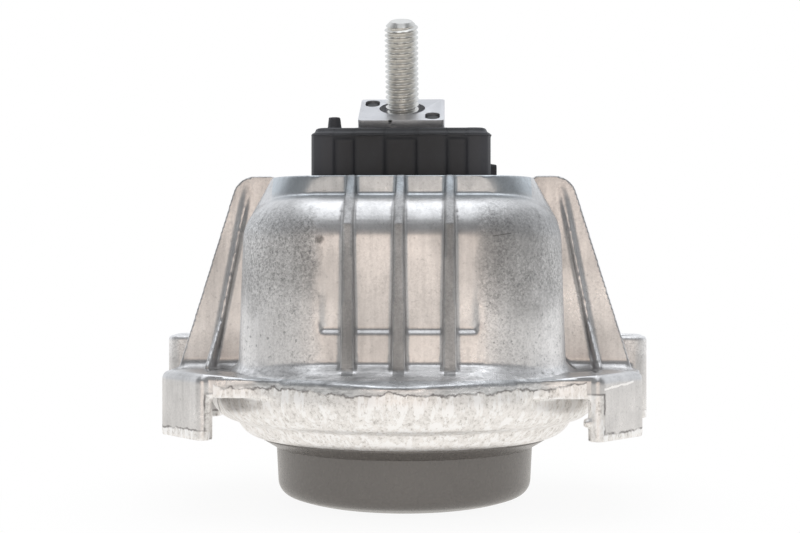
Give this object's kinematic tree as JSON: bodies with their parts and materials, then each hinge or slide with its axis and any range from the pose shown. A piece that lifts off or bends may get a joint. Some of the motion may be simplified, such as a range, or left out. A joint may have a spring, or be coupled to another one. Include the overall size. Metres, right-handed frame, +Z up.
{
  "type": "engine mount",
  "caption": "Hydraulic engine mount: ribbed die-cast housing with feet and side webs, rubber-sprung core with a leaning threaded stud, rubber stop buffer and a pressed cup below.",
  "frame": {"origin": "centre of the flat disc under the bottom cup, on the axis of the housing bore", "axes": "+Z up along the housing bore, +X towards the feet on the right, -Y the front, which the stud leans towards"},
  "size_m": [0.1472, 0.114, 0.1393],
  "materials": {
    "cast_aluminium": "raw die-cast, blasted, light grey with darker specks",
    "core_aluminium": "smooth satin",
    "zinc_steel": "zinc plated",
    "plain_steel": "plain",
    "coated_steel": "dark satin coating",
    "moulded_rubber": "matte moulded",
    "track_plastic": "moulded"
  },
  "bodies": {
    "root": {"housing": "cast_aluminium", "core": "core_aluminium", "stud": "zinc_steel", "stop_buffer": "moulded_rubber", "main_spring": "moulded_rubber", "spring_ring": "plain_steel", "inertia_track_upper": "track_plastic", "inertia_track_lower": "track_plastic", "decoupler": "moulded_rubber", "diaphragm": "moulded_rubber", "diaphragm_ring": "plain_steel", "bottom_cup": "coated_steel"}
  },
  "joints": []
}
